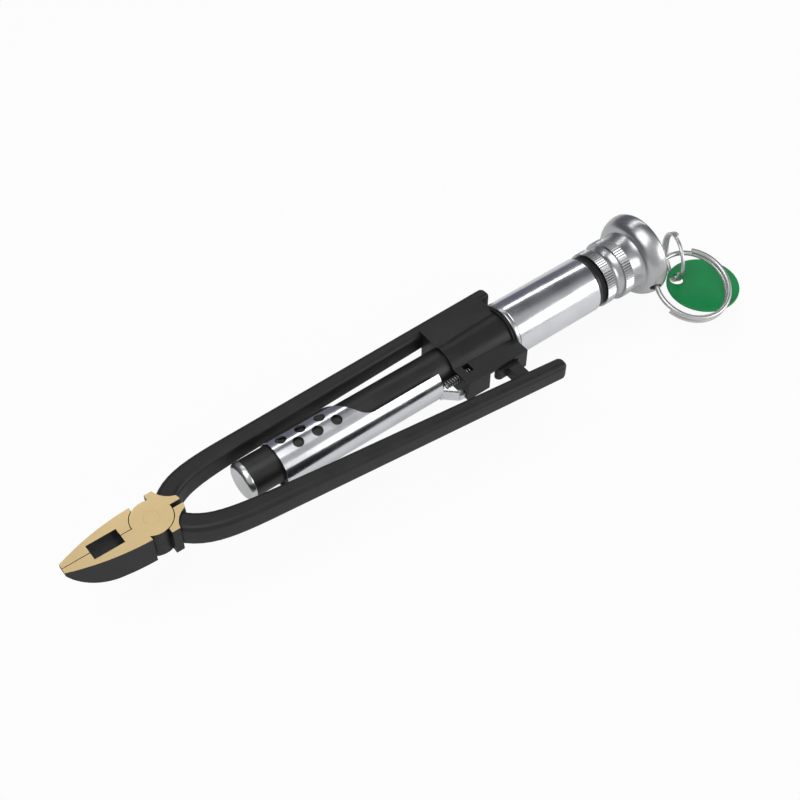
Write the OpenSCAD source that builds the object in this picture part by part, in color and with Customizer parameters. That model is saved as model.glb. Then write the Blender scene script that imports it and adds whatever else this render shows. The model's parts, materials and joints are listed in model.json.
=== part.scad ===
// Safety wire pliers: crossing pliers that carry a twister barrel between the handles.
// X runs from the jaw tip to the pull knob, Z is up, and the origin is under the pivot.

/* [Head] */
// Thickness of the head, underside to ground top face
head_t = 13; // [12:0.5:15]
// Distance from the pivot to the jaw tip
jaw_l = 35.7; // [33:0.1:42]
// Half width of the blunt jaw tip
tip_half_w = 2.2; // [1.5:0.1:3]
// Half width of the closed jaws where they are widest
jaw_half_w = 8.6; // [8.2:0.1:9.5]
// Distance from the pivot to the widest point of the jaws
crown_x = 2; // [1:0.1:4]
// Distance from the pivot to the rear shoulder of the jaws
shoulder_x = 4.4; // [3.5:0.1:5.5]
// Length of the upswept underside of the nose
sweep_l = 17.7; // [14:0.1:20]
// Thickness left at the jaw tip
tip_t = 2; // [1.5:0.1:4]
// Gap between the closed jaws
jaw_gap = 0.3; // [0.2:0.05:0.6]
// Distance from the pivot to the rear edge of the window between the jaws
window_rear = 12.6; // [11:0.1:14]
// Length of the window between the jaws
window_l = 12.1; // [9:0.1:13]
// Width of the window between the jaws
window_w = 6.9; // [5:0.1:8]
// Pitch of the gripping teeth on the nose
tooth_pitch = 1.2; // [0.8:0.1:2]
// Depth of the gripping teeth
tooth_depth = 0.4; // [0.2:0.05:0.6]
// Depth of the plain edge above the teeth
tooth_top = 1.2; // [0.8:0.1:2]
// Length of the toothed stretch of the nose
tooth_run = 9; // [6:0.5:10]

/* [Lap joint] */
// Radius of the lap discs
lap_r = 8; // [7.5:0.1:8.4]
// Running gap round a lap disc
lap_clear = 0.3; // [0.2:0.05:0.5]
// Running gap between the two lap faces
lap_gap = 0.1; // [0.05:0.01:0.2]
// Radius of the pivot rivet
rivet_r = 3; // [2.5:0.1:3.5]
// Radius of the rivet's head
rivet_head_r = 4.6; // [4:0.1:5.5]
// Thickness of the rivet's head
rivet_head_t = 2.2; // [1.5:0.1:3]
// Running clearance round the rivet
rivet_clear = 0.05; // [0.02:0.01:0.1]

/* [Shoulders] */
// Distance from the pivot to the front of the shoulders
ear_front = 2.6; // [2:0.1:4]
// Distance from the pivot to the rear tips of the shoulders
ear_l = 12.4; // [11.5:0.1:14]
// Half width across the shoulders
ear_half_w = 10.1; // [9:0.1:11]
// Width of the slot between the shoulders
ear_slot_w = 2; // [1.6:0.1:3]
// Radius of the scoop at the rear of each shoulder
scoop_r = 8.7; // [8:0.1:9.5]
// Distance of the scoop's centre behind the shoulder tips
scoop_back = 2.1; // [1.5:0.1:3]
// Distance of the scoop's centre outside the shoulders
scoop_out = 1.5; // [0.5:0.1:2.5]

/* [Handles] */
// Length of the handles behind the bracket
handle_tail = 7; // [5:0.5:20]
// Distance from the pivot to the root of the handles
handle_root = 7; // [6.5:0.1:8]
// Offset of the handles' straight line from the pivot
handle_offset = 12.8; // [12.5:0.1:14]
// Splay of the handle that holds the barrel, in degrees
pinned_splay = 1.4; // [1.2:0.1:2.5]
// Splay of the hooked handle with the jaws closed, in degrees
hooked_splay = 6.35; // [6:0.05:7.5]
// How far the handles bow in at the root
bow = 9.1; // [8:0.1:9.5]
// Length over which the bow fades
bow_l = 7.5; // [6:0.1:8.5]
// Distance from the pivot to the point where the bow has faded
bow_run = 40; // [36:0.5:46]
// Width of a handle at its root
handle_w_root = 8.4; // [7.5:0.1:8.6]
// Width of a handle where the bow has faded
handle_w_bow = 7.3; // [6.5:0.1:8]
// Width of a handle along its straight
handle_w = 6.5; // [5.5:0.1:7]
// Width of a handle at its end
handle_w_end = 5.9; // [5:0.1:6.5]
// Height of a handle at its root
handle_h_root = 10.6; // [9:0.1:11]
// Height of a handle along its straight
handle_h = 9.8; // [9:0.1:11]
// Height of a handle at its end
handle_h_end = 8.8; // [8:0.1:10]
// Edge radius of the handles
handle_edge_r = 2.2; // [1:0.1:2.6]
// Radius that rounds the handles' ends
handle_end_r = 2.6; // [1:0.1:2.7]

/* [Hook] */
// Gap between the hook's post and the rear of the catch notch
hook_gap = 0.8; // [0.5:0.1:1.5]
// Thickness of the hook's post
hook_post_t = 5.2; // [4:0.1:6]
// Length of the hook's nose in front of the post
hook_nose_l = 4.6; // [3:0.1:5]
// Thickness of the hook's nose
hook_nose_t = 3.6; // [3:0.1:4.5]
// How far the hook's face lies from the barrel axis
hook_reach = 14.6; // [14:0.1:17]
// Height of the hook
hook_h = 5.4; // [4:0.1:6]

/* [Bracket] */
// How far the barrel axis lies below the middle of the head
axis_drop = 2.75; // [0:0.1:4]
// Distance from the pivot to the bracket's front
bracket_front = 132; // [131:0.1:134]
// Length of the bracket
bracket_l = 30.4; // [29.5:0.1:34]
// Radius of the bracket's barrel at its front
barrel_front_r = 9.1; // [8.8:0.1:9.6]
// Radius of the bracket's barrel at its rear
barrel_rear_r = 10.2; // [9.8:0.1:10.6]
// Distance from the barrel axis to the near wing's side
wing_half_w = 17.4; // [17:0.1:19]
// Height of the near wing
wing_h = 9.6; // [9:0.1:11]
// Height of the near wing above the barrel axis
wing_top = 4.8; // [4.4:0.1:6]
// Distance from the bracket's front to the catch notch
notch_front = 11.2; // [10:0.1:12]
// Length of the catch notch
notch_l = 14.2; // [14:0.1:15]
// Depth of the catch notch
notch_depth = 6; // [5:0.1:6.5]
// Thickness of the roof over the catch notch
notch_roof = 1.4; // [1:0.1:2]
// How far the far wing's roof laps over the handle
roof_lap = 1.8; // [1:0.1:2.4]
// Thickness of the far wing's roof at its edge
roof_t = 0.9; // [0.6:0.1:1.2]
// Turn round the barrel at which the far wing's roof leaves it, in degrees
roof_turn = 20; // [15:1:25]
// Gap between the far wing and the handle
wing_gap = 0.2; // [0.1:0.05:0.4]
// Radius of the pins that hold the far wing to the handle
pin_r = 2; // [1.5:0.1:2.4]
// Depth of the pins in the far wing
pin_depth = 3.2; // [2:0.1:3.6]
// Distance of the pins from the bracket's ends
pin_inset = 9; // [8.9:0.1:9.5]

/* [Front tube] */
// Outer radius of the front tube
tube_r = 7.75; // [7.5:0.05:8]
// Wall of the front tube
tube_wall = 1; // [0.8:0.1:1.2]
// Distance from the pivot to the front face of the cap
cap_front = 36.3; // [34:0.1:38]
// Length of the cap outside the tube
cap_l = 2.9; // [2.6:0.1:4]
// Radius of the cap
cap_r = 7.95; // [7.8:0.05:8.5]
// Radius of the cap's rounded edge
cap_edge_r = 2; // [1:0.1:2.4]
// Length of the cap's plug in the tube
cap_plug_l = 1.6; // [1:0.1:1.8]
// How far the tube runs into the bracket
tube_in_bracket = 18; // [14:0.5:20]

/* [Lock sleeve] */
// Distance from the pivot to the front of the sleeve
sleeve_front = 51.4; // [50:0.1:53]
// Outer radius of the sleeve
sleeve_r = 10; // [9.8:0.05:10.4]
// How far the sleeve's centre lies to the near side of the tube's
sleeve_side = 0.8; // [0:0.05:0.85]
// How far the sleeve's centre lies below the tube's
sleeve_drop = 0.6; // [0:0.05:0.65]
// Sheet thickness of the sleeve
sheet_t = 0.8; // [0.6:0.05:1]
// Distance from the sleeve's front to the near corner of its cut-away
cutaway_x = 38.6; // [36:0.1:42]
// How far the near rim of the cut-away lies from the sleeve's centre
cutaway_side = 6.5; // [5.5:0.1:7.5]
// Slant of the cut-away's front edge, in degrees
cutaway_slant = 37; // [30:1:40]
// Length over which the cut-away's near corner is rounded
cutaway_r = 4; // [2:0.1:6]
// Distance from the sleeve's front to the first near hole
hole_first = 9.8; // [8:0.1:12]
// How far the far holes lie in front of the near ones
hole_stagger = 4.8; // [4:0.1:5]
// Pitch of the holes
hole_pitch = 8.8; // [8:0.1:9.2]
// Radius of the holes
hole_r = 2.25; // [1.5:0.05:2.5]
// Angle of each row of holes from the top, in degrees
hole_angle = 14; // [13:0.5:17]
// Gap between the sleeve's ear and the bracket
ear_stop_gap = 0.3; // [0.2:0.05:0.5]
// Length of the sleeve's bent ear
sleeve_ear_l = 7; // [6:0.1:8]
// Length of the straight tab at the end of the ear
ear_tab_l = 2.4; // [2:0.1:3]
// Distance from the barrel axis to the outside of the ear
ear_reach = 15; // [14.5:0.1:15.3]
// Height of the ear
ear_h = 4.8; // [4:0.1:6]
// Distance of the ear's top edge below the barrel axis
ear_top_drop = 0.5; // [0.3:0.1:1]
// Height of the lip that holds the spring
lip_h = 1; // [0.6:0.1:1.2]
// Running clearance of the sleeve on its guide rings
sleeve_clear = 0.05; // [0.02:0.01:0.1]
// Width of a guide ring
guide_w = 3.4; // [2:0.1:4]
// Distance of the guide rings from the front and the cut-away
guide_inset = 1.2; // [0.5:0.1:3]

/* [Latch] */
// Thickness of the latch bolt
bolt_t = 1.2; // [0.8:0.1:1.4]
// Height of the latch bolt
bolt_h = 2.6; // [2:0.1:3]
// How far the latch bolt enters the notch
bolt_throw = 1.3; // [1:0.1:2]
// Running clearance of the bolt in its slot
bolt_clear = 0.3; // [0.2:0.05:0.4]
// Mean radius of the latch spring
latch_spring_r = 1.5; // [1.4:0.05:1.55]
// Wire radius of the latch spring
latch_wire_r = 0.3; // [0.25:0.01:0.32]
// Number of turns of the latch spring
latch_turns = 11; // [8:1:14]
// Length of the latch spring in front of the bracket
latch_spring_out = 6.7; // [6:0.1:6.7]
// Length of the latch spring in the bracket
latch_spring_in = 6.4; // [5:0.1:7]
// Distance of the latch spring from the barrel axis
latch_spring_y = 10.3; // [10.1:0.05:10.6]
// Height of the latch spring above the barrel axis
latch_spring_z = 2; // [1.9:0.1:2.3]

/* [Grip tube] */
// Outer radius of the grip tube
grip_r = 12.1; // [11.8:0.05:12.4]
// Wall of the grip tube
grip_wall = 1; // [0.8:0.1:1.4]
// Length of the bracket's spigot in the grip tube
spigot_l = 5; // [3:0.1:6]
// Length of the grip tube behind the bracket
grip_l = 45.5; // [40:0.5:60]
// Outer radius of the retaining ring
ring_r = 12.2; // [12.1:0.05:12.4]
// Width of the retaining ring
ring_w = 1.8; // [1:0.1:2.2]
// Radius of the end bush's rim
rim_r = 11.8; // [11.5:0.05:12]
// Width of the end bush's rim
rim_w = 1.8; // [1:0.1:3]
// Length of the end bush in the grip tube
bush_l = 12; // [10:0.5:16]
// Radius of the bumper
bumper_r = 11.3; // [10:0.1:11.6]
// Inner radius of the bumper
bumper_bore_r = 6; // [5:0.1:8]
// Width of the bumper
bumper_w = 2.4; // [1.5:0.1:3]

/* [Knob] */
// Gap between the bumper and the knob
knob_gap = 0.1; // [0.05:0.05:0.3]
// Radius of the front knurled band
knurl_front_r = 12.3; // [12:0.1:13]
// Radius of the rear knurled band
knurl_rear_r = 13.2; // [13:0.1:14]
// Width of each knurled band
knurl_w = 4.4; // [3:0.1:5]
// Depth of the knurling
knurl_depth = 0.35; // [0.2:0.05:0.5]
// Number of ridges in a knurled band
knurl_count = 72; // [48:2:80]
// Width of the waist between the bands
waist_w = 5; // [4:0.1:6]
// Depth of the waist below the front band
waist_depth = 1.1; // [0.5:0.1:1.5]
// Depth of the neck below the rear band
neck_depth = 0.9; // [0.8:0.1:1.4]
// Length of the neck behind the rear band
neck_l = 6.4; // [5:0.1:7.5]
// How far the neck rises to the bulge
neck_rise = 1.1; // [0.6:0.1:1.6]
// Length of the bulge from the neck to the dome's rim
bulge_l = 7.3; // [6.5:0.1:8.5]
// Radius of the dome's rim
dome_r = 18.3; // [17.8:0.1:18.8]
// Height of the dome behind its rim
dome_h = 4.6; // [4.2:0.1:5.5]
// Radius of the ring hole through the dome's rim
ring_hole_r = 2.3; // [2.2:0.05:2.6]

/* [Spiral rod] */
// Half width of the twisted bar
bar_half_w = 3.6; // [3.2:0.05:3.7]
// Half thickness of the twisted bar
bar_half_t = 2.2; // [2:0.05:2.4]
// Corner chamfer of the twisted bar
bar_chamfer = 0.8; // [0.5:0.05:1]
// Lead of the twist
lead = 40; // [35:1:60]
// Clearance between the bar and the drive nut
nut_clear = 0.25; // [0.2:0.05:0.35]
// Radius of the drive nut
nut_r = 9; // [8:0.1:10]
// Length of the drive nut
nut_l = 8; // [6:0.1:9]
// Radius of the rod's tail in the knob
tail_r = 3; // [2.5:0.1:3.4]
// Length of the rod's tail in the knob
tail_l = 14; // [10:0.5:18]
// Radius of the rod's front journal
journal_r = 2.45; // [2:0.05:2.5]
// Length of the rod guide
guide_l = 6; // [4:0.1:8]
// Running clearance of the rod guide
guide_clear = 0.08; // [0.05:0.01:0.1]
// Axial play of the rod in its guide
guide_play = 0.2; // [0.1:0.05:0.4]
// Gap between the cap's plug and the rod's end screw
end_gap = 1; // [0.5:0.1:1.5]
// Radius of the end screw's head
screw_head_r = 3.8; // [3.2:0.1:4.5]
// Thickness of the end screw's head
screw_head_t = 1.7; // [1.2:0.1:2.5]
// Radius of the end screw's shank
screw_r = 1.2; // [1:0.1:1.4]
// Length of the end screw's shank
screw_l = 6; // [4:0.5:8]
// Mean radius of the return spring
return_r = 5.2; // [5:0.05:5.5]
// Wire radius of the return spring
return_wire_r = 0.55; // [0.4:0.05:0.6]
// Number of turns of the return spring
return_turns = 14; // [10:1:18]
// Width of the spring's seat
seat_w = 3; // [2:0.1:4]
// Bore radius of the spring's seat
seat_bore_r = 4.3; // [4.2:0.05:4.4]

/* [Ring and tag] */
// Mean radius of the split ring
split_r = 16.5; // [16:0.1:18]
// Wire radius of the split ring
split_wire_r = 1.1; // [0.9:0.05:1.15]
// Turn of the wire's start round the split ring, in degrees
split_start = 195; // [180:1:210]
// Overlap of the split ring's ends, in degrees
split_lap = 216; // [180:4:222]
// Distance from the dome's rim to the split ring's centre, along the axis
ring_back = 11.7; // [11.2:0.1:12.4]
// Distance of the split ring's centre to the near side
ring_side = 24; // [23.5:0.1:25]
// Distance of the split ring's centre below the barrel axis
ring_drop = 7.4; // [6.5:0.1:8]
// Tilt of the split ring, in degrees
ring_tilt = 18; // [15:1:21]
// Direction of the knob's hole seen from the split ring's centre, in degrees
hole_turn = 133; // [131:1:135]
// Half angle of the split ring's arc inside the knob, in degrees
hole_arc = 20; // [18:1:24]
// Mean radius of the tag's ring
tag_ring_r = 10.4; // [10.2:0.1:11]
// Radial thickness of the tag ring's flat wire
flat_t = 1.2; // [0.9:0.05:1.25]
// Width of the tag ring's flat wire
flat_w = 1.4; // [1:0.05:1.45]
// Gap between the turns of the tag's ring
flat_gap = 0.1; // [0.05:0.05:0.2]
// Overlap of the tag ring's ends, in degrees
tag_ring_lap = 250; // [200:10:280]
// Distance from the dome's rim to the tag ring's centre, along the axis
tag_ring_back = 19.8; // [19.5:0.1:20.1]
// Distance of the tag ring's centre to the near side
tag_ring_side = 5.3; // [5:0.1:5.6]
// Distance of the tag ring's centre below the barrel axis
tag_ring_drop = 9.5; // [9.2:0.1:9.8]
// Direction of the tag ring's axis, in degrees
tag_ring_turn = 155; // [153:1:157]
// Depth of the tag below the tag ring's centre
tag_drop = 7.8; // [7.6:0.1:8]
// Direction in which the tag lies from its hole, in degrees
tag_lie = -53; // [-56:1:-48]
// Half length of the tag
tag_half_l = 16; // [15:0.1:17]
// Half width of the tag
tag_half_w = 16; // [15:0.1:17]
// Thickness of the tag
tag_t = 1.2; // [0.8:0.1:1.4]
// Radius of the tag's hole
tag_hole_r = 3; // [2.9:0.05:3.2]
// Distance from the tag's hole centre to its edge
tag_hole_edge = 4.3; // [4.2:0.1:5]

/* [Hidden] */

steel_black = "#2b2b2b";
gold = "#d7be8c";
plate = "#c9ccd0";
satin = "#b4b6b8";
rubber = "#161616";
tag_green = "#1d9a4a";

over = 1;
mid_z = head_t / 2;
axis_z = mid_z - axis_drop;

bow_dx = jaw_l - crown_x;
bow_drop = jaw_half_w - tip_half_w;
jaw_bow_r = (bow_dx * bow_dx + bow_drop * bow_drop) / (2 * bow_drop);
sweep_rise = head_t - tip_t;
sweep_r = (sweep_l * sweep_l + sweep_rise * sweep_rise) / (2 * sweep_rise);
tooth_count = floor(tooth_run / tooth_pitch);

bow_steps = 12;
straight_steps = 5;
corner_steps = 4;
end_steps = 4;

bracket_rear = bracket_front + bracket_l;
handle_end = bracket_rear + handle_tail;
wing_low_z = axis_z + wing_top - wing_h;
notch_x = bracket_front + notch_front;
hook_rear = notch_x + notch_l - hook_gap;
pin_z = (axis_z + mid_z) / 2;
roof_z = mid_z + handle_height(bracket_front) / 2 + wing_gap;
pin_xs = [bracket_front + pin_inset, bracket_rear - pin_inset];
tube_front = cap_front + cap_l;
tube_rear = bracket_front + tube_in_bracket;
tube_bore_r = tube_r - tube_wall;

ear_end = bracket_front - ear_stop_gap;
sleeve_rear = ear_end - sleeve_ear_l;
sleeve_bore_r = sleeve_r - sheet_t;
cutaway_far = cutaway_x - tan(cutaway_slant) * (sleeve_r + cutaway_side);
spring_bore_r = latch_spring_r + latch_wire_r + bolt_clear;
bolt_z = axis_z - ear_top_drop - ear_h / 2;

grip_front = bracket_rear + ring_w;
grip_rear = bracket_rear + grip_l;
grip_bore_r = grip_r - grip_wall;
bush_front = grip_rear - bush_l;
rim_rear = grip_rear + rim_w;
bumper_rear = rim_rear + bumper_w;
rod_bore_r = seat_bore_r;

knob_front = bumper_rear + knob_gap;
knob_waist = knob_front + knurl_w;
knob_band = knob_waist + waist_w;
knob_flare = knob_band + knurl_w;
neck_end = knob_flare + neck_l;
dome_x = neck_end + bulge_l;
knurl_step = 0.2;
waist_r = knurl_front_r - knurl_depth - knurl_step;
flare_r = knurl_rear_r - knurl_depth - knurl_step;
neck_r = knurl_rear_r - neck_depth;

screw_front = tube_front + cap_plug_l + end_gap;
guide_front = screw_front + screw_head_t + guide_play;
guide_rear = guide_front + guide_l;
bar_front = guide_rear + guide_play;
seat_rear = tube_rear;
seat_front = seat_rear - seat_w;
spring_end_gap = 0.3;
slices_per_turn = 24;

ring_pos = [dome_x + ring_back, -ring_side, axis_z - ring_drop];
ring_pitch = 2 * split_wire_r + 0.05;
tag_ring_pos = [dome_x + tag_ring_back, -tag_ring_side, axis_z - tag_ring_drop];
tag_ring_pitch = flat_w + flat_gap;
tag_chord = sqrt(tag_ring_r * tag_ring_r - tag_drop * tag_drop);
tag_hole = [
    tag_ring_pos[0] - tag_chord * sin(tag_ring_turn),
    tag_ring_pos[1] + tag_chord * cos(tag_ring_turn),
    tag_ring_pos[2] - tag_drop
];
flat_wire = [
    [flat_t / 2, flat_w / 3], [flat_t / 3, flat_w / 2], [-flat_t / 3, flat_w / 2], [-flat_t / 2, flat_w / 3],
    [-flat_t / 2, -flat_w / 3], [-flat_t / 3, -flat_w / 2], [flat_t / 3, -flat_w / 2], [flat_t / 2, -flat_w / 3]
];

// Offset of a handle's centre line from the X axis
function handle_y(x, splay) = handle_offset + tan(splay) * x - bow * exp((handle_root - x) / bow_l);
function handle_slope(x, splay) = atan(tan(splay) + bow / bow_l * exp((handle_root - x) / bow_l));
function handle_width(x) =
    lookup(x, [
        [handle_root, handle_w_root], [bow_run, handle_w_bow], [2 * bow_run, handle_w], [handle_end, handle_w_end]
    ]);
function handle_height(x) =
    lookup(x, [[handle_root, handle_h_root], [2 * bow_run, handle_h], [handle_end, handle_h_end]]);
function handle_inner(x, splay) = handle_y(x, splay) - handle_width(x) / 2 / cos(splay);
function handle_outer(x, splay) = handle_y(x, splay) + handle_width(x) / 2 / cos(splay);

// Outline of a rounded bar: points of [across, up]
function bar_section(w, h, r) = [
    for (k = [0:3]) for (i = [0:corner_steps])
        let (a = 90 * k + 90 * i / corner_steps, sx = (k == 0 || k == 3) ? 1 : -1, sz = k < 2 ? 1 : -1)
            [sx * (w / 2 - r) + r * cos(a), sz * (h / 2 - r) + r * sin(a)]
];
function handle_ring(x, splay, inset) =
    let (
        a = handle_slope(x, splay),
        c = [x, handle_y(x, splay), mid_z],
        s = bar_section(
            handle_width(x) - 2 * inset, handle_height(x) - 2 * inset, max(handle_edge_r - inset, 0.3)
        )
    ) [for (p = s) c + [-sin(a) * p[0], cos(a) * p[0], p[1]]];

// Section of a round wire: points of [outward, up]
function round_wire(r, sides) = [for (j = [0:sides - 1]) [r * cos(360 * j / sides), r * sin(360 * j / sides)]];

// Closed solid through rings of points
module skin(rings, flip = false) {
    n = len(rings[0]);
    m = len(rings);
    sides = [
        for (i = [0:m - 2]) for (j = [0:n - 1])
            let (k = (j + 1) % n) [i * n + j, (i + 1) * n + j, (i + 1) * n + k, i * n + k]
    ];
    caps = [[for (j = [0:n - 1]) j], [for (j = [0:n - 1]) m * n - 1 - j]];
    faces = concat(caps, sides);
    polyhedron(
        [for (ring = rings) each ring],
        flip ? [for (f = faces) [for (q = [len(f) - 1:-1:0]) f[q]]] : faces
    );
}

// Coil about Z from height 0 to height l, of a wire with the given section
module coil(r, section, l, turns, start, per_turn) {
    n = round(turns * per_turn);
    rings = [
        for (i = [0:n]) let (a = start + 360 * turns * i / n)
            [for (p = section) [(r + p[0]) * cos(a), (r + p[0]) * sin(a), l * i / n + p[1]]]
    ];
    skin(rings, flip = true);
}

// Places its children on the barrel axis, with their Z along X
module along(x) {
    translate([x, 0, axis_z]) rotate([0, 90, 0]) children();
}

module tube_piece(x, l, r, bore_r) {
    along(x) difference() {
        cylinder(r = r, h = l, $fn = 64);
        translate([0, 0, -over]) cylinder(r = bore_r, h = l + 2 * over, $fn = 64);
    }
}

// Plan of one closed jaw: side is 1 for the far jaw and -1 for the near one
module jaw_plan(side) {
    difference() {
        intersection() {
            translate([-crown_x, side * (jaw_half_w - jaw_bow_r)]) circle(r = jaw_bow_r, $fn = 180);
            translate([-jaw_l, side > 0 ? jaw_gap / 2 : -jaw_half_w])
                square([jaw_l - shoulder_x, jaw_half_w - jaw_gap / 2]);
        }
        translate([-window_rear - window_l, -window_w / 2]) square([window_l, window_w]);
    }
}

module jaw(side) {
    intersection() {
        difference() {
            linear_extrude(head_t) jaw_plan(side);
            for (i = [0:tooth_count - 1])
                translate([-jaw_l + (i + 1) * tooth_pitch, side * jaw_gap / 2, -over])
                    cylinder(r = tooth_depth, h = head_t - tooth_top + over, $fn = 4);
        }
        union() {
            translate([sweep_l - jaw_l, -jaw_half_w - over, 0]) cube([jaw_l, 2 * (jaw_half_w + over), head_t]);
            translate([sweep_l - jaw_l, jaw_half_w + over, sweep_r]) rotate([90, 0, 0])
                cylinder(r = sweep_r, h = 2 * (jaw_half_w + over), $fn = 96);
        }
    }
}

module shoulder(side) {
    mirror([0, side > 0 ? 0 : 1, 0]) linear_extrude(head_t) difference() {
        intersection() {
            translate([ear_front, ear_slot_w / 2]) square([ear_l - ear_front, ear_half_w - ear_slot_w / 2]);
            circle(r = ear_l, $fn = 64);
        }
        translate([ear_l + scoop_back, ear_half_w + scoop_out]) circle(r = scoop_r, $fn = 64);
    }
}

// A forged handle bar on the far side, bowed at the root and rounded at the end
module handle_bar(splay) {
    end_x = handle_end - handle_end_r;
    xs = concat(
        [for (i = [0:bow_steps]) handle_root + (bow_run - handle_root) * pow(i / bow_steps, 1.5)],
        [for (i = [1:straight_steps]) bow_run + (end_x - bow_run) * i / straight_steps]
    );
    ends = [for (i = [1:end_steps]) 90 * i / (end_steps + 0.5)];
    skin(concat(
        [for (x = xs) handle_ring(x, splay, 0)],
        [for (a = ends) handle_ring(end_x + handle_end_r * sin(a), splay, handle_end_r * (1 - cos(a)))]
    ));
}

// Clears the other half's lap disc over one half of the thickness
module lap_relief(z) {
    translate([0, 0, z]) cylinder(r = lap_r + lap_clear, h = mid_z + over + lap_gap / 2, $fn = 96);
}

module pinned_handle() {
    color(gold) difference() {
        union() {
            difference() {
                union() {
                    jaw(-1);
                    shoulder(1);
                    handle_bar(pinned_splay);
                }
                lap_relief(-over);
            }
            translate([0, 0, mid_z + lap_gap / 2]) cylinder(r = lap_r, h = mid_z - lap_gap / 2, $fn = 96);
        }
        translate([0, 0, -over]) cylinder(r = rivet_r, h = head_t + 2 * over, $fn = 48);
        for (x = pin_xs) pin_shape(x, over);
    }
}

// The catch on the near handle: a post that reaches in, with a nose that points forward
module hook() {
    post_front = hook_rear - hook_post_t;
    nose_r = hook_nose_t / 2;
    translate([0, 0, axis_z - hook_h / 2]) linear_extrude(hook_h) {
        translate([post_front, -handle_y(hook_rear, hooked_splay)])
            square([hook_post_t, handle_y(hook_rear, hooked_splay) - hook_reach - nose_r]);
        translate([post_front - hook_nose_l + nose_r, -hook_reach - hook_nose_t])
            square([hook_nose_l + hook_post_t - 2 * nose_r, hook_nose_t]);
        translate([post_front - hook_nose_l + nose_r, -hook_reach - nose_r]) circle(r = nose_r, $fn = 32);
        translate([hook_rear - nose_r, -hook_reach - nose_r]) circle(r = nose_r, $fn = 32);
    }
}

module hooked_handle() {
    color(gold) difference() {
        union() {
            difference() {
                union() {
                    jaw(1);
                    shoulder(-1);
                    mirror([0, 1, 0]) handle_bar(hooked_splay);
                }
                lap_relief(mid_z - lap_gap / 2);
            }
            cylinder(r = lap_r, h = mid_z - lap_gap / 2, $fn = 96);
            hook();
        }
        translate([0, 0, -over]) cylinder(r = rivet_r + rivet_clear, h = head_t + 2 * over, $fn = 48);
        translate([0, 0, -over])
            cylinder(r = rivet_head_r + rivet_clear, h = over + rivet_head_t + rivet_clear, $fn = 48);
    }
}

module pivot_rivet() {
    color(gold) union() {
        cylinder(r = rivet_r, h = head_t, $fn = 48);
        cylinder(r = rivet_head_r, h = rivet_head_t, $fn = 48);
    }
}

// A pin across the pinned handle and the far wing, longer at its outer end by extra
module pin_shape(x, extra = 0) {
    y = handle_inner(x, pinned_splay) - wing_gap - pin_depth;
    l = handle_outer(x, pinned_splay) - y + extra;
    translate([x, y, pin_z]) rotate([-90, 0, 0]) cylinder(r = pin_r, h = l, $fn = 32);
}

module bracket_pins() {
    color(steel_black) for (x = pin_xs) pin_shape(x);
}

module latch_spring_seat() {
    x = bracket_front - over;
    l = over + latch_spring_in + spring_end_gap;
    window_l_x = latch_spring_in / 2;
    translate([x, -latch_spring_y, axis_z + latch_spring_z]) rotate([0, 90, 0])
        cylinder(r = spring_bore_r, h = l, $fn = 32);
    translate([x + l - window_l_x, -latch_spring_y - spring_bore_r, axis_z + latch_spring_z])
        cube([window_l_x, 2 * spring_bore_r, wing_top]);
}

// Section of the far wing, which runs from the barrel's crest out over the handle
function far_wing_ring(x, r) =
    let (edge = handle_inner(x, pinned_splay) + roof_lap, crest = axis_z + r * cos(roof_turn)) [
        [x, 0, wing_low_z], [x, edge, wing_low_z], [x, edge, roof_z + roof_t],
        [x, r * sin(roof_turn), crest], [x, 0, crest]
    ];

// The room under the far wing's roof where the handle lies
module handle_room() {
    front = handle_inner(bracket_front - over, pinned_splay) - wing_gap;
    rear = handle_inner(bracket_rear + over, pinned_splay) - wing_gap;
    out = handle_outer(bracket_rear, pinned_splay);
    translate([0, 0, wing_low_z - over]) linear_extrude(roof_z - wing_low_z + over) polygon([
        [bracket_front - over, front], [bracket_rear + over, rear],
        [bracket_rear + over, out], [bracket_front - over, out]
    ]);
}

module body_bracket() {
    bolt_slot_y = ear_reach + bolt_t + bolt_clear;
    color(steel_black) difference() {
        union() {
            along(bracket_front) cylinder(r1 = barrel_front_r, r2 = barrel_rear_r, h = bracket_l, $fn = 96);
            along(bracket_rear - over) cylinder(r = grip_bore_r, h = over + ring_w + spigot_l, $fn = 64);
            translate([bracket_front, -wing_half_w, wing_low_z]) cube([bracket_l, wing_half_w, wing_h]);
            skin([
                far_wing_ring(bracket_front, barrel_front_r), far_wing_ring(bracket_rear, barrel_rear_r)
            ]);
        }
        handle_room();
        along(bracket_front - over) cylinder(r = tube_r, h = bracket_l + ring_w + spigot_l + 2 * over, $fn = 64);
        translate([notch_x, -wing_half_w - over, wing_low_z - over])
            cube([notch_l, notch_depth + over, wing_h - notch_roof + over]);
        translate([bracket_front - over, -bolt_slot_y, bolt_z - bolt_h / 2 - bolt_clear])
            cube([notch_front + 2 * over, bolt_t + 2 * bolt_clear, bolt_h + 2 * bolt_clear]);
        latch_spring_seat();
        for (x = pin_xs) pin_shape(x);
    }
}

module front_tube() {
    color(steel_black) tube_piece(tube_front, tube_rear - tube_front, tube_r, tube_bore_r);
}

module front_cap() {
    color(plate) along(cap_front) rotate_extrude($fn = 96) {
        translate([0, cap_l]) square([tube_bore_r, cap_plug_l]);
        translate([0, cap_edge_r]) square([cap_r, cap_l - cap_edge_r]);
        square([cap_r - cap_edge_r, cap_l]);
        intersection() {
            translate([cap_r - cap_edge_r, cap_edge_r]) circle(r = cap_edge_r, $fn = 32);
            square([cap_r, cap_l]);
        }
    }
}

// Places its children with the sleeve, which hangs off the tube's centre
module hung() {
    translate([0, -sleeve_side, -sleeve_drop]) children();
}

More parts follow.
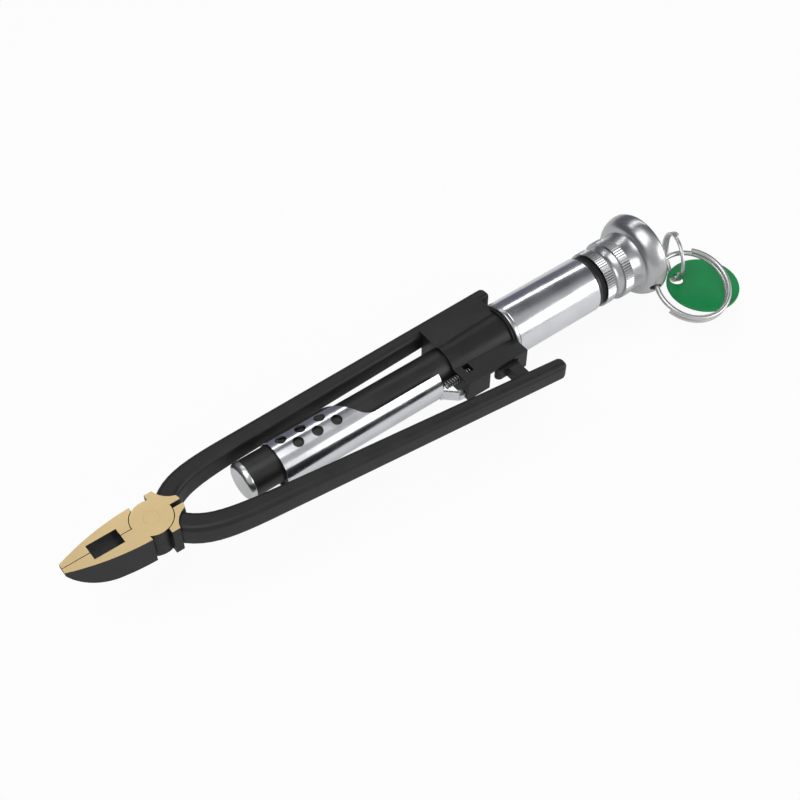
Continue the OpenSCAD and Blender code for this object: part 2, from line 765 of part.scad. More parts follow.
module guide_ring(x) {
    difference() {
        hung() along(x) cylinder(r = sleeve_bore_r - sleeve_clear, h = guide_w, $fn = 64);
        along(x - over) cylinder(r = tube_r, h = guide_w + 2 * over, $fn = 64);
    }
}

module front_guide_ring() {
    color(steel_black) guide_ring(sleeve_front + guide_inset);
}

module rear_guide_ring() {
    color(steel_black) guide_ring(sleeve_front + cutaway_far - guide_inset - guide_w);
}

// Plan of the opening that bares the tube behind the holes
module cutaway_plan() {
    corner = [sleeve_front + cutaway_x, -cutaway_side];
    slant = [-sin(cutaway_slant), cos(cutaway_slant)];
    far = corner + slant * (sleeve_r + over + cutaway_side) / cos(cutaway_slant);
    rear = sleeve_rear + over;
    polygon(concat(
        [[rear, -cutaway_side], [rear, far[1]], far],
        [for (i = [0:6]) let (t = i / 6)
            corner + slant * cutaway_r * (1 - t) * (1 - t) + [cutaway_r * t * t, 0]]
    ));
}

// The bent ear at the sleeve's rear
module sleeve_ear() {
    tab = ear_end - ear_tab_l;
    bore = sleeve_side + sleeve_bore_r;
    bend = sleeve_side + sleeve_r - sheet_t / 4;
    mirror([0, 1, 0]) {
        translate([0, 0, axis_z - ear_top_drop - ear_h]) linear_extrude(ear_h) polygon([
            [sleeve_rear - over, bore], [sleeve_rear + sheet_t / 2, bore],
            [tab + sheet_t / 2, ear_reach - sheet_t], [ear_end, ear_reach - sheet_t], [ear_end, ear_reach],
            [tab, ear_reach], [sleeve_rear, bend], [sleeve_rear - over, bend]
        ]);
        translate([tab, ear_reach - sheet_t, axis_z - ear_top_drop - over])
            cube([ear_tab_l, sheet_t, over + lip_h]);
    }
}

// A row of three holes in the sleeve, at an angle from its top
module hole_row(first, angle) {
    for (i = [0:2]) translate([sleeve_front + first + i * hole_pitch, 0, axis_z]) rotate([angle, 0, 0])
        cylinder(r = hole_r, h = sleeve_r + over, $fn = 32);
}

module lock_sleeve() {
    color(plate) union() {
        hung() difference() {
            tube_piece(sleeve_front, sleeve_rear - sleeve_front, sleeve_r, sleeve_bore_r);
            translate([0, 0, axis_z]) linear_extrude(sleeve_r + over) cutaway_plan();
            hole_row(hole_first, hole_angle);
            hole_row(hole_first - hole_stagger, -hole_angle);
        }
        sleeve_ear();
    }
}

module latch_bolt() {
    x = ear_end - ear_tab_l;
    color(plate) translate([x, -ear_reach - bolt_t, bolt_z - bolt_h / 2])
        cube([notch_x + bolt_throw - x, bolt_t, bolt_h]);
}

module latch_spring() {
    l = latch_spring_out + latch_spring_in;
    color(satin) translate([bracket_front - latch_spring_out, -latch_spring_y, axis_z + latch_spring_z])
        rotate([0, 90, 0]) coil(latch_spring_r, round_wire(latch_wire_r, 5), l, latch_turns, 0, 10);
}

module retaining_ring() {
    color(satin) tube_piece(bracket_rear, ring_w, ring_r, grip_bore_r);
}

module grip_tube() {
    color(plate) tube_piece(grip_front, grip_rear - grip_front, grip_r, grip_bore_r);
}

module end_bush() {
    color(steel_black) difference() {
        union() {
            along(bush_front) cylinder(r = grip_bore_r, h = bush_l, $fn = 64);
            along(grip_rear) cylinder(r = rim_r, h = rim_w, $fn = 64);
        }
        along(bush_front - over) cylinder(r = rod_bore_r, h = bush_l + rim_w + 2 * over, $fn = 64);
        along(bush_front - over) cylinder(r = nut_r, h = nut_l + over, $fn = 64);
    }
}

// Section of the twisted bar, grown by a clearance
module bar_plan(grow) {
    w = bar_half_w + grow;
    t = bar_half_t + grow;
    polygon([
        [w, t - bar_chamfer], [w - bar_chamfer, t], [bar_chamfer - w, t], [-w, t - bar_chamfer],
        [-w, bar_chamfer - t], [bar_chamfer - w, -t], [w - bar_chamfer, -t], [w, bar_chamfer - t]
    ]);
}

// A stretch of the twisted bar from x, in phase along the whole rod
module twisted_bar(x, l, grow) {
    turn = 360 * (x - bar_front) / lead;
    along(x) rotate([0, 0, turn])
        linear_extrude(l, twist = -360 * l / lead, slices = ceil(slices_per_turn * l / lead)) bar_plan(grow);
}

module drive_nut() {
    color("#b08d4a") difference() {
        along(bush_front) cylinder(r = nut_r, h = nut_l, $fn = 64);
        twisted_bar(bush_front - over, nut_l + 2 * over, nut_clear);
    }
}

module rubber_bumper() {
    color(rubber) tube_piece(rim_rear, bumper_w, bumper_r, bumper_bore_r);
}

module spring_seat() {
    color(steel_black) tube_piece(seat_front, seat_w, tube_bore_r, seat_bore_r);
}

module return_spring() {
    x = guide_rear + spring_end_gap + return_wire_r;
    l = seat_front - spring_end_gap - return_wire_r - x;
    color(satin) along(x) coil(return_r, round_wire(return_wire_r, 5), l, return_turns, 0, 10);
}

module rod_guide() {
    color(steel_black) tube_piece(guide_front, guide_l, tube_bore_r - guide_clear, journal_r + guide_clear);
}

module spiral_rod() {
    journal_front = screw_front + screw_head_t;
    color(satin) difference() {
        union() {
            twisted_bar(bar_front, knob_front - bar_front, 0);
            along(journal_front) cylinder(r = journal_r, h = bar_front - journal_front + over, $fn = 48);
            along(knob_front - over) cylinder(r = tail_r, h = tail_l + over, $fn = 48);
        }
        along(journal_front - over) cylinder(r = screw_r, h = screw_l + over, $fn = 32);
    }
}

module rod_end_screw() {
    color(satin) union() {
        along(screw_front) cylinder(r = screw_head_r, h = screw_head_t, $fn = 48);
        along(screw_front) cylinder(r = screw_r, h = screw_head_t + screw_l, $fn = 32);
    }
}

// Plan of a knurled band: straight ridges round a circle
module knurl_plan(r) {
    polygon([
        for (i = [0:2 * knurl_count - 1])
            let (a = 180 * i / knurl_count, q = i % 2 == 0 ? r : r - knurl_depth) [q * cos(a), q * sin(a)]
    ]);
}

// Half section of the knob's smooth body: points of [radius, distance behind its front]
function waist_points(n) = [
    for (i = [0:n]) let (t = i / n)
        [waist_r - waist_depth * sin(180 * t), knurl_w + waist_w * t]
];
function neck_points(n) = [
    for (i = [0:n]) let (a = 90 * i / n)
        [neck_r + neck_rise * (1 - cos(a)), knob_flare - knob_front + neck_l * sin(a)]
];
function bulge_points(n) = [
    for (i = [1:n]) let (a = 90 * i / n, r = neck_r + neck_rise)
        [r + (dome_r - r) * sin(a), neck_end - knob_front + bulge_l * (1 - cos(a))]
];
function dome_points(n) = [
    for (i = [1:n]) let (a = 90 * i / n) [dome_r * cos(a), dome_x - knob_front + dome_h * sin(a)]
];

// Places its children in the split ring's plane, with the ring's centre at their origin
module in_ring() {
    translate(ring_pos) rotate([ring_tilt, 0, 0]) children();
}

module pull_knob() {
    hole_x = split_r * (1 + cos(hole_arc)) / 2;
    hole_l = 2 * split_r * sin(hole_arc) + 4 * ring_hole_r;
    color(satin) difference() {
        union() {
            along(knob_front) rotate_extrude($fn = 96) polygon(concat(
                [[0, 0], [waist_r, 0]], waist_points(8),
                [[flare_r, knurl_w + waist_w], [flare_r, knob_flare - knob_front]],
                neck_points(7), bulge_points(8), dome_points(8)
            ));
            along(knob_front) linear_extrude(knurl_w) knurl_plan(knurl_front_r);
            along(knob_band) linear_extrude(knurl_w) knurl_plan(knurl_rear_r);
        }
        along(knob_front - over) cylinder(r = tail_r, h = tail_l + over, $fn = 48);
        in_ring() rotate([0, 0, hole_turn]) translate([hole_x, 0, 0]) rotate([90, 0, 0])
            cylinder(r = ring_hole_r, h = hole_l, center = true, $fn = 48);
    }
}

module split_ring() {
    turns = 1 + split_lap / 360;
    l = ring_pitch * turns;
    color(satin) in_ring() translate([0, 0, -l / 2])
        coil(split_r, round_wire(split_wire_r, 10), l, turns, split_start, 40);
}

module tag_ring() {
    turns = 1 + tag_ring_lap / 360;
    l = tag_ring_pitch * turns;
    color(satin) translate(tag_ring_pos) rotate([0, 90, tag_ring_turn]) translate([0, 0, -l / 2])
        coil(tag_ring_r, flat_wire, l, turns, 200, 36);
}

module id_tag() {
    color(tag_green) translate(tag_hole) rotate([0, 0, tag_lie]) translate([0, 0, -tag_t / 2])
        linear_extrude(tag_t) difference() {
            translate([tag_half_l - tag_hole_edge, 0]) polygon([
                for (i = [0:47]) [tag_half_l * cos(7.5 * i), tag_half_w * sin(7.5 * i)]
            ]);
            circle(r = tag_hole_r, $fn = 32);
        }
}

pinned_handle();
hooked_handle();
pivot_rivet();
body_bracket();
bracket_pins();
front_tube();
front_cap();
front_guide_ring();
rear_guide_ring();
lock_sleeve();
latch_bolt();
latch_spring();
retaining_ring();
grip_tube();
end_bush();
drive_nut();
rubber_bumper();
spring_seat();
return_spring();
rod_guide();
spiral_rod();
rod_end_screw();
pull_knob();
split_ring();
tag_ring();
id_tag();
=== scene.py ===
import bmesh
import bpy
import json
import math
from mathutils import Matrix, Vector

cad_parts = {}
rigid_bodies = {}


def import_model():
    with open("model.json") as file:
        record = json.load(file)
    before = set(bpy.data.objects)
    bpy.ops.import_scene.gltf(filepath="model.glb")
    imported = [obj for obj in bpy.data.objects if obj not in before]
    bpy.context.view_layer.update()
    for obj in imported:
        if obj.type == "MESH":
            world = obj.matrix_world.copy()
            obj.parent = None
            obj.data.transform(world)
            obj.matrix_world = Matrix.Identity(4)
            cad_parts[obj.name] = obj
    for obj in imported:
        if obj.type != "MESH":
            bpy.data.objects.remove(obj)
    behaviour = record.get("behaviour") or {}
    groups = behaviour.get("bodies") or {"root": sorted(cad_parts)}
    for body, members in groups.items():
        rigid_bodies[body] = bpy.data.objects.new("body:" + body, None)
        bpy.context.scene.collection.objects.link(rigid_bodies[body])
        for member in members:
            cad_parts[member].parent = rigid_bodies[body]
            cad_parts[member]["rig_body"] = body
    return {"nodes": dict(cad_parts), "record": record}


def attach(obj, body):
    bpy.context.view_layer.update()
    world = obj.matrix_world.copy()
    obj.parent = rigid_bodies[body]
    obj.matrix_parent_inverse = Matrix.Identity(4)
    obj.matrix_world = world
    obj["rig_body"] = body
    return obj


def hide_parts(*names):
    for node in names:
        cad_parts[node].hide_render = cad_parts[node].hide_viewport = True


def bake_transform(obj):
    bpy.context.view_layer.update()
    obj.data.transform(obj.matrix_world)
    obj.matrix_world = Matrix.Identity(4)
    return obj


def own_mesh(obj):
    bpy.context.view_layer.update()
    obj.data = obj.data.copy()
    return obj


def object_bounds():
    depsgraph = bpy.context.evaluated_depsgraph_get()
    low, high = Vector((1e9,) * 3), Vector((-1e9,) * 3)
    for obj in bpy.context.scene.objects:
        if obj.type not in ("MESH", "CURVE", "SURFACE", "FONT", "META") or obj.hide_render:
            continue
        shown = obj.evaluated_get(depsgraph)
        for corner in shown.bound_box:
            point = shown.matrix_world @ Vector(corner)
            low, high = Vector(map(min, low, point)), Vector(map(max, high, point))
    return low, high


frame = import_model()
cadBox = [list(corner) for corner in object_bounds()]
print("frame loaded", len(frame["nodes"]), "nodes")

mm = 0.001
axisZ = 3.75 * mm  # height of the barrel axis
xAxis = Vector((1, 0, 0))
zAxis = Vector((0, 0, 1))


class Wire:  # a socket that takes arithmetic
    def __init__(self, finish, socket):
        self.finish = finish
        self.socket = socket

    def calc(self, operation, other):
        return self.finish.node("Math", {"operation": operation}, {0: self, 1: other})

    def __add__(self, other):
        return self.calc("ADD", other)

    __radd__ = __add__

    def __mul__(self, other):
        return self.calc("MULTIPLY", other)

    __rmul__ = __mul__


class Finish:  # one node tree, of a material or of the world
    def __init__(self, tree):
        self.tree = tree

    def node(self, kind, settings, values, out=0):
        made = self.tree.nodes.new("ShaderNode" + kind)
        for key, value in settings.items():
            if key == "stops":
                ramp = made.color_ramp.elements
                while len(ramp) < len(value):
                    ramp.new(0.5)
                for element, (place, colour) in zip(ramp, value):
                    element.position = place
                    element.color = colour
            else:
                setattr(made, key, value)
        for key, value in values.items():
            self.feed(made.inputs[key], value)
        return Wire(self, made.outputs[out])

    def feed(self, socket, value):
        if isinstance(value, Wire):
            self.tree.links.new(value.socket, socket)
        else:
            socket.default_value = value

    def noise(self, scale, detail, stretch=(1, 1, 1)):
        spot = self.node("TexCoord", {}, {}, "Object")
        spot = self.node("Mapping", {}, {"Vector": spot, "Scale": stretch})
        return self.node("TexNoise", {}, {"Vector": spot, "Scale": scale, "Detail": detail})

    def blend(self, mask, low, high):
        return self.node("Mix", {"data_type": "RGBA"}, {0: mask, 6: low, 7: high}, 2)

    def band(self, value, low, high):
        return self.node("MapRange", {"clamp": True}, {0: value, 1: low, 2: high, 3: 0.0, 4: 1.0})

    def bump(self, height, depth):
        return self.node("Bump", {}, {"Height": height, "Distance": depth, "Strength": 1.0})


def rgb(r, g, b):
    return (r, g, b, 1.0)


# every finish mixes a fine grain with wide soft blotches
grains = dict(detail=4.0, share=0.55)
blotches = dict(scale=90.0, detail=2.0, low=0.35, high=0.65, share=0.45)


def material(name, colours, rough, grain, depth, stretch=(1, 1, 1), metal=0.0, coat=0.0, shine=0.5):
    made = bpy.data.materials.new(name)
    made.use_nodes = True
    made.diffuse_color = colours[1]
    finish = Finish(made.node_tree)
    shader = made.node_tree.nodes["Principled BSDF"]
    fine = finish.noise(grain, grains["detail"], stretch)
    wide = finish.noise(blotches["scale"], blotches["detail"])
    wide = finish.band(wide, blotches["low"], blotches["high"])
    mask = fine * grains["share"] + wide * blotches["share"]
    finish.feed(shader.inputs["Base Color"], finish.blend(mask, colours[0], colours[1]))
    finish.feed(shader.inputs["Roughness"], rough[0] + (rough[1] - rough[0]) * mask)
    finish.feed(shader.inputs["Normal"], finish.bump(fine, depth))
    shader.inputs["Metallic"].default_value = metal
    shader.inputs["Coat Weight"].default_value = coat
    shader.inputs["Specular IOR Level"].default_value = shine
    return made


# one finish for each slot of the record, one for the head's ground face and one for the front cap
looks = {
    "phosphated_steel": dict(colours=[rgb(0.008, 0.008, 0.008), rgb(0.020, 0.020, 0.021)],
                             rough=(0.36, 0.54), grain=1900, depth=0.00005, shine=0.34),
    "ground_gold": dict(colours=[rgb(0.64, 0.485, 0.245), rgb(0.77, 0.595, 0.315)],
                        rough=(0.30, 0.46), metal=1.0, grain=900, stretch=(0.12, 3, 1), depth=0.000008),
    "black_casting": dict(colours=[rgb(0.006, 0.006, 0.006), rgb(0.013, 0.0125, 0.012)],
                          rough=(0.34, 0.5), grain=1100, depth=0.00005, shine=0.36),
    "black_tube": dict(colours=[rgb(0.008, 0.0078, 0.007), rgb(0.018, 0.0175, 0.016)],
                       rough=(0.36, 0.5), grain=900, stretch=(0.1, 2, 2), depth=0.00001, shine=0.45),
    "chrome_plate": dict(colours=[rgb(0.70, 0.71, 0.74), rgb(0.82, 0.83, 0.85)],
                         rough=(0.15, 0.27), metal=1.0, grain=700, stretch=(0.06, 2, 2), depth=0.000004),
    "satin_chrome": dict(colours=[rgb(0.62, 0.63, 0.62), rgb(0.74, 0.75, 0.74)],
                         rough=(0.24, 0.36), metal=1.0, grain=900, depth=0.000006),
    "satin_steel": dict(colours=[rgb(0.46, 0.47, 0.47), rgb(0.60, 0.61, 0.61)],
                        rough=(0.24, 0.36), metal=1.0, grain=900, stretch=(4, 0.1, 0.1), depth=0.000006),
    "dark_steel": dict(colours=[rgb(0.02, 0.02, 0.022), rgb(0.06, 0.06, 0.064)],
                       rough=(0.3, 0.45), metal=0.6, grain=1500, depth=0.00002),
    "spring_steel": dict(colours=[rgb(0.18, 0.18, 0.18), rgb(0.34, 0.34, 0.34)],
                         rough=(0.24, 0.38), metal=1.0, grain=1200, depth=0.00001),
    "ring_wire": dict(colours=[rgb(0.54, 0.54, 0.53), rgb(0.68, 0.68, 0.67)],
                      rough=(0.32, 0.46), metal=1.0, grain=1300, depth=0.00001),
    "brass_nut": dict(colours=[rgb(0.55, 0.40, 0.16), rgb(0.72, 0.55, 0.25)],
                      rough=(0.25, 0.4), metal=1.0, grain=1200, depth=0.00001),
    "black_plastic": dict(colours=[rgb(0.010, 0.010, 0.010), rgb(0.022, 0.022, 0.022)],
                          rough=(0.5, 0.65), grain=1800, depth=0.00003),
    "black_rubber": dict(colours=[rgb(0.005, 0.005, 0.005), rgb(0.012, 0.012, 0.012)],
                         rough=(0.6, 0.8), grain=1600, depth=0.00004, shine=0.3),
    "green_tag": dict(colours=[rgb(0.000, 0.225, 0.055), rgb(0.003, 0.285, 0.080)],
                      rough=(0.38, 0.52), coat=0.08, grain=500, depth=0.00001, shine=0.3),
}
finishes = {name: material(name, **look) for name, look in looks.items()}
slots = {part["node"]: part["material_slot"] for part in frame["record"]["subparts"]}
for name, node in frame["nodes"].items():
    node.data.materials.clear()
    node.data.materials.append(finishes[slots[name]])
print("finishes made", len(finishes))


def piece(name, mesh, node, slot=None, rides=True):  # a finished mesh becomes a piece on its node's body
    data = bpy.data.meshes.new(name)
    mesh.to_mesh(data)
    mesh.free()
    made = bpy.data.objects.new(name, data)
    bpy.context.scene.collection.objects.link(made)
    made.data.materials.append(finishes[slot or slots[node]])
    if rides:
        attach(made, frame["nodes"][node]["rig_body"])
    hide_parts(node)
    return made


def smoothed(mesh, angle):  # smooth faces, with hard edges only where they turn by more than the angle
    limit = math.radians(angle)
    for face in mesh.faces:
        face.smooth = True
    for edge in mesh.edges:
        edge.smooth = len(edge.link_faces) == 2 and edge.calc_face_angle(0.0) < limit


copying = dict(weld=0.000003, flat=0.4)  # metres, degrees


def merged(node):  # a copy of a node's mesh with its loose triangles joined
    mesh = bmesh.new()
    mesh.from_mesh(frame["nodes"][node].data)
    bmesh.ops.remove_doubles(mesh, verts=mesh.verts[:], dist=copying["weld"])
    bmesh.ops.dissolve_limit(mesh, angle_limit=math.radians(copying["flat"]), verts=mesh.verts[:],
                             edges=mesh.edges[:])
    return mesh


def edged(made, edge, angle):  # soft machined edges, in mm
    soft = made.modifiers.new("edges", "BEVEL")
    soft.width = edge * mm
    soft.segments = 2
    soft.limit_method = "ANGLE"
    soft.angle_limit = math.radians(angle)
    soft.use_clamp_overlap = True
    even = made.modifiers.new("evenNormals", "WEIGHTED_NORMAL")
    even.keep_sharp = True


def carried(name, node, angle, slot=None):  # a node's own shape with smooth faces
    mesh = merged(node)
    smoothed(mesh, angle)
    return piece(name, mesh, node, slot)


def dressed(name, node, edge, angle, slot=None):  # a node's own shape with soft edges
    edged(carried(name, node, angle, slot), edge, angle)


# the two forged halves: black forging with a ground top face on the head
forging = dict(headTop=13.0, skin=0.05, level=0.98, edge=0.6, angle=38)


def forgedHalf(name, node):
    mesh = merged(node)
    smoothed(mesh, forging["angle"])
    groundFrom = (forging["headTop"] - forging["skin"]) * mm
    for face in mesh.faces:
        ground = face.normal.z > forging["level"] and face.calc_center_median().z > groundFrom
        face.material_index = 1 if ground else 0
    made = piece(name, mesh, node)
    made.data.materials.append(finishes["ground_gold"])
    edged(made, forging["edge"], forging["angle"])


forgedHalf("pinnedHalf", "pinned_handle")
forgedHalf("hookedHalf", "hooked_handle")
rivet = dict(edge=0.05, angle=40, slot="ground_gold")
dressed("pivotRivet", "pivot_rivet", **rivet)
print("forged halves made")

bracket = dict(edge=0.45, angle=40)
dressed("bodyBracket", "body_bracket", **bracket)

turning = dict(roundSteps=4, weld=0.000002, smooth=32)


def lathe(name, node, profile, rounding, steps=128, slot=None):  # profile: closed loop of (x, r) in mm
    mesh = bmesh.new()
    spots = [mesh.verts.new((x * mm, 0, axisZ + r * mm)) for x, r in profile]
    for first, second in zip(spots, spots[1:] + spots[:1]):
        mesh.edges.new((first, second))
    for index, size in rounding.items():
        bmesh.ops.bevel(mesh, geom=[spots[index]], offset=size * mm, offset_type="OFFSET",
                        segments=turning["roundSteps"], profile=0.5, affect="VERTICES", material=-1)
    bmesh.ops.spin(mesh, geom=mesh.verts[:] + mesh.edges[:], cent=(0, 0, axisZ), axis=xAxis, dvec=(0, 0, 0),
                   angle=2 * math.pi, steps=steps, use_merge=True, use_duplicate=False)
    bmesh.ops.remove_doubles(mesh, verts=mesh.verts[:], dist=turning["weld"])
    bmesh.ops.recalc_face_normals(mesh, faces=mesh.faces[:])
    smoothed(mesh, turning["smooth"])
    piece(name, mesh, node, slot)


def tube(name, node, front, rear, outer, inner, frontEdge, rearEdge, steps=128):
    profile = [(front, inner), (front, outer), (rear, outer), (rear, inner)]
    lathe(name, node, profile, {1: frontEdge, 2: rearEdge}, steps)


frontTube = dict(front=39.2, rear=150, outer=7.75, inner=6.75, frontEdge=0.2, rearEdge=0.2)
tube("frontTube", "front_tube", **frontTube)
gripTube = dict(front=164.2, rear=207.9, outer=12.1, inner=11.1, frontEdge=0.3, rearEdge=0.4)
tube("gripTube", "grip_tube", **gripTube)
retainingRing = dict(front=162.4, rear=164.2, outer=12.2, inner=11.1, frontEdge=0.5, rearEdge=0.3, steps=96)
tube("retainingRing", "retaining_ring", **retainingRing)
rubberBumper = dict(front=209.7, rear=212.1, outer=11.3, inner=6.0, frontEdge=0.5, rearEdge=0.5, steps=96)
tube("rubberBumper", "rubber_bumper", **rubberBumper)
cap = dict(front=36.3, rear=39.2, plugRear=40.8, r=7.95, plugR=6.75, frontEdge=2.0, rearEdge=0.2)
capLoop = [(cap["front"], 0), (cap["front"], cap["r"]), (cap["rear"], cap["r"]), (cap["rear"], cap["plugR"]),
           (cap["plugRear"], cap["plugR"]), (cap["plugRear"], 0)]
lathe("frontCap", "front_cap", capLoop, {1: cap["frontEdge"], 2: cap["rearEdge"]}, slot="satin_chrome")
bush = dict(front=195.9, wall=203.9, rim=207.9, rear=209.7, plugR=11.1, rimR=11.8, nutR=9, rodR=4.3,
            frontEdge=0.2, rearEdge=0.5)
bushLoop = [(bush["front"], bush["nutR"]), (bush["front"], bush["plugR"]), (bush["rim"], bush["plugR"]),
            (bush["rim"], bush["rimR"]), (bush["rear"], bush["rimR"]), (bush["rear"], bush["rodR"]),
            (bush["wall"], bush["rodR"]), (bush["wall"], bush["nutR"])]
lathe("endBush", "end_bush", bushLoop, {3: bush["frontEdge"], 4: bush["rearEdge"]})
print("tubes made")

sleeve = dict(edge=0.18, angle=35)
dressed("lockSleeve", "lock_sleeve", **sleeve)
bolt = dict(edge=0.2, angle=40)
dressed("latchBolt", "latch_bolt", **bolt)
knob = dict(angle=28)
carried("pullKnob", "pull_knob", **knob)
rod = dict(edge=0.05, angle=35)
dressed("spiralRod", "spiral_rod", **rod)
tag = dict(edge=0.25, angle=35)
dressed("idTag", "id_tag", **tag)

wireSmooth = 50  # degrees, for rings and springs


def coil(name, node, where, section, r, start, turn, rise, perTurn, rides=True):  # section: loop of (out, up)
    mesh = bmesh.new()
    spots = [mesh.verts.new(((r + out) * mm, 0, up * mm)) for out, up in section]
    mesh.faces.new(spots)
    steps = round(perTurn * turn / 360)
    begin = Matrix.Rotation(math.radians(start), 3, "Z")
    bmesh.ops.rotate(mesh, verts=mesh.verts[:], cent=(0, 0, 0), matrix=begin)
    bmesh.ops.translate(mesh, verts=mesh.verts[:], vec=(0, 0, -rise * mm / 2))
    bmesh.ops.spin(mesh, geom=mesh.faces[:], cent=(0, 0, 0), axis=zAxis, dvec=(0, 0, rise * mm / steps),
                   angle=math.radians(turn), steps=steps, use_merge=False, use_duplicate=False)
    bmesh.ops.recalc_face_normals(mesh, faces=mesh.faces[:])
    bmesh.ops.transform(mesh, matrix=where, verts=mesh.verts[:])
    smoothed(mesh, wireSmooth)
    return piece(name, mesh, node, rides=rides)


def roundWire(r, sides):
    angles = [2 * math.pi * i / sides for i in range(sides)]
    return [(r * math.cos(angle), r * math.sin(angle)) for angle in angles]


def flatWire(thick, wide, flat):  # a rectangle whose sides stay flat over a share of their length
    corner = [(thick / 2, flat * wide / 2), (flat * thick / 2, wide / 2)]
    return [(out * a, up * b) for out, up, order in ((1, 1, 1), (-1, 1, -1), (-1, -1, 1), (1, -1, -1))
            for a, b in corner[::order]]


def turned(spot, x=0.0, y=0.0, z=0.0):  # a place in mm, after turns in degrees about x, y and z
    turnX = Matrix.Rotation(math.radians(x), 4, "X")
    turnY = Matrix.Rotation(math.radians(y), 4, "Y")
    turnZ = Matrix.Rotation(math.radians(z), 4, "Z")
    return Matrix.Translation(Vector(spot) * mm) @ turnZ @ turnY @ turnX


splitRing = dict(centre=(251.4, -24, -3.65), tilt=18, r=16.44, wire=1.08, sides=16, start=195, turn=576,
                 pitch=2.25, perTurn=90)
coil("splitRing", "split_ring", turned(splitRing["centre"], x=splitRing["tilt"]),
     roundWire(splitRing["wire"], splitRing["sides"]), r=splitRing["r"], start=splitRing["start"],
     turn=splitRing["turn"], rise=splitRing["pitch"] * splitRing["turn"] / 360, perTurn=splitRing["perTurn"])
tagRing = dict(centre=(259.5, -5.3, -5.75), face=155, r=10.4, thick=1.2, wide=1.4, flat=2 / 3, start=200,
               turn=610, pitch=1.5, perTurn=72)
coil("tagRing", "tag_ring", turned(tagRing["centre"], y=90, z=tagRing["face"]),
     flatWire(tagRing["thick"], tagRing["wide"], tagRing["flat"]), r=tagRing["r"], start=tagRing["start"],
     turn=tagRing["turn"], rise=tagRing["pitch"] * tagRing["turn"] / 360, perTurn=tagRing["perTurn"])
spring = dict(side=-10.3, height=5.75, front=125.3, length=13.1, r=1.5, wire=0.3, sides=8, turns=11, perTurn=20)
springMiddle = (spring["front"] + spring["length"] / 2, spring["side"], spring["height"])
latchSpring = coil("latchSpring", "latch_spring", turned(springMiddle, y=90),
                   roundWire(spring["wire"], spring["sides"]), r=spring["r"], start=0,
                   turn=360 * spring["turns"], rise=spring["length"], perTurn=spring["perTurn"], rides=False)
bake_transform(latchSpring)  # its front end moves with the sleeve's ear
returnSpring = carried("returnSpring", "return_spring", wireSmooth)
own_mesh(returnSpring)
print("sleeve, knob, tag, rings and springs made")

# camera at the photograph's angle, lengths in mm
shot = dict(turn=37.31, drop=50.0, distance=525.3, across=14.2, rise=12.18, target=(129.2, 0, 3.75),
            lens=59.085, sensor=36)
turn, drop = math.radians(shot["turn"]), math.radians(shot["drop"])
right = Vector((math.cos(turn), -math.sin(turn), 0))
look = Vector((math.sin(turn) * math.cos(drop), math.cos(turn) * math.cos(drop), -math.sin(drop)))
up = right.cross(look)
camera = bpy.data.objects.new("camera", bpy.data.cameras.new("camera"))
bpy.context.scene.collection.objects.link(camera)
spot = Vector(shot["target"]) - look * shot["distance"] - right * shot["across"] - up * shot["rise"]
camera.matrix_world = Matrix.Translation(spot * mm) @ Matrix((right, up, -look)).transposed().to_4x4()
camera.data.lens = shot["lens"]
camera.data.sensor_width = shot["sensor"]
camera.data.sensor_fit = "HORIZONTAL"
camera.data.clip_start = 0.01
camera.data.clip_end = 50
bpy.context.scene.camera = camera

# pale floor that looks white to the camera and keeps a soft shadow, lengths in metres
studio = dict(floorSize=8.0, floorMiddle=0.1, floorDrop=0.0145, floorWhite=0.93, floorShine=0.15,
              paper=rgb(0.82, 0.82, 0.82), paperRough=0.9)
floorSpot = (studio["floorMiddle"], 0, cadBox[0][2] - studio["floorDrop"])
mesh = bmesh.new()
bmesh.ops.create_grid(mesh, x_segments=1, y_segments=1, size=studio["floorSize"] / 2)
bmesh.ops.translate(mesh, verts=mesh.verts[:], vec=floorSpot)
floorData = bpy.data.meshes.new("floor")
mesh.to_mesh(floorData)
mesh.free()
floor = bpy.data.objects.new("floor", floorData)
bpy.context.scene.collection.objects.link(floor)
paper = bpy.data.materials.new("floorPaper")
paper.use_nodes = True
finish = Finish(paper.node_tree)
paperShader = paper.node_tree.nodes["Principled BSDF"]
paperShader.inputs["Base Color"].default_value = studio["paper"]
paperShader.inputs["Roughness"].default_value = studio["paperRough"]
cameraRay = finish.node("LightPath", {}, {}, "Is Camera Ray")
glossyRay = finish.node("LightPath", {}, {}, "Is Glossy Ray")
clearRay = finish.node("LightPath", {}, {}, "Is Transmission Ray")
glow = finish.node("Emission", {}, {"Color": rgb(1, 1, 1), "Strength": 1.0})
glowShare = (cameraRay + clearRay) * studio["floorWhite"] + glossyRay * studio["floorShine"]
lit = Wire(finish, paperShader.outputs[0])
white = finish.node("MixShader", {}, {0: glowShare, 1: lit, 2: glow})
finish.feed(paper.node_tree.nodes["Material Output"].inputs["Surface"], white)
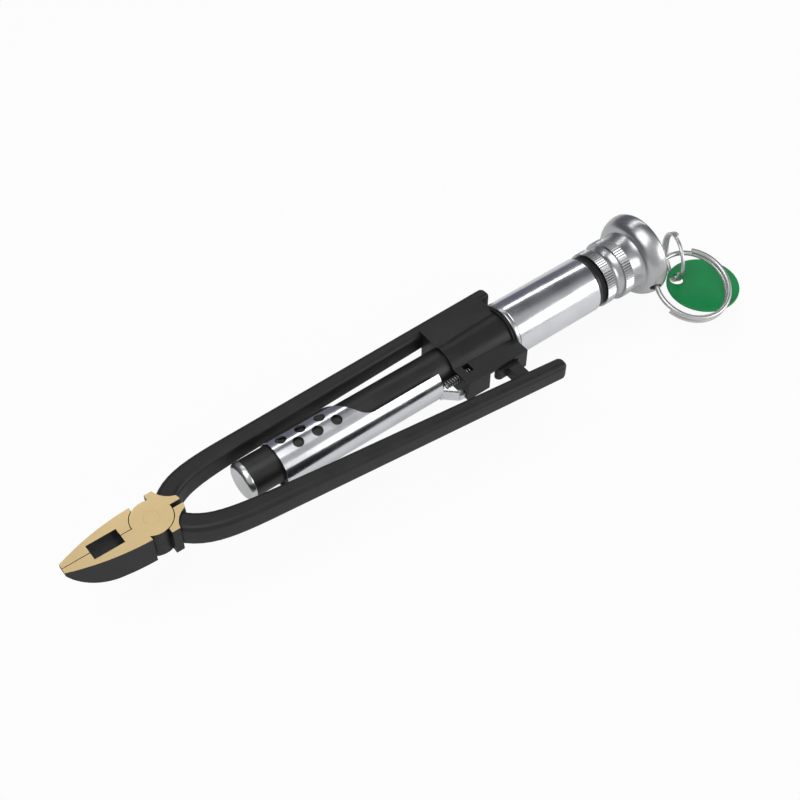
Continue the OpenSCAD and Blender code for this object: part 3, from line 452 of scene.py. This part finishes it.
floor.data.materials.append(paper)

# world: white to the camera, to the metal a studio that is bright on the near side
domeStops = [(0.0, rgb(0.50, 0.50, 0.51)), (0.30, rgb(0.44, 0.44, 0.45)), (0.46, rgb(0.11, 0.11, 0.12)),
             (0.72, rgb(0.10, 0.10, 0.12)), (1.0, rgb(0.16, 0.155, 0.20))]  # from the near side to the far side
world = bpy.data.worlds.new("studio")
bpy.context.scene.world = world
world.use_nodes = True
sky = Finish(world.node_tree)
backdrop = world.node_tree.nodes["Background"]
direction = sky.node("TexCoord", {}, {}, "Generated")
across = sky.node("SeparateXYZ", {}, {0: direction}, 1)
dome = sky.node("ValToRGB", {"stops": domeStops}, {0: across * 0.5 + 0.5})
seen = sky.node("LightPath", {}, {}, "Is Camera Ray")
sky.feed(backdrop.inputs["Color"], sky.blend(seen, dome, rgb(1, 1, 1)))
backdrop.inputs["Strength"].default_value = 1.0

# soft boxes: the way from the tool's middle, how far away in metres, the size, the power
middle = Vector((0.11, 0, 0))
boxes = [
    dict(name="farStrip", way=(0.39, 0.56, 0.73), away=1.0, size=(1.5, 0.10), power=2.0),
    dict(name="nearBox", way=(0.80, -0.86, 0.41), away=1.25, size=(1.0, 0.6), power=5.5),
    dict(name="topBox", way=(-0.5, -0.1, 0.85), away=1.2, size=(0.7, 0.7), power=3),
    dict(name="sleeveBox", way=(-0.14, -0.08, 0.95), away=0.95, size=(0.8, 0.58), power=3.0),
]
for box in boxes:
    lamp = bpy.data.lights.new(box["name"], "AREA")
    lamp.shape = "RECTANGLE"
    lamp.size, lamp.size_y = box["size"]
    lamp.energy = box["power"]
    holder = bpy.data.objects.new(box["name"], lamp)
    bpy.context.scene.collection.objects.link(holder)
    way = Vector(box["way"]).normalized()
    side = (xAxis - way * way.dot(xAxis)).normalized()
    facing = Matrix((side, way.cross(side), way)).transposed().to_4x4()
    holder.matrix_world = Matrix.Translation(middle + way * box["away"]) @ facing
    holder.visible_camera = False
bpy.context.scene.view_settings.view_transform = "Standard"
print("stage set")
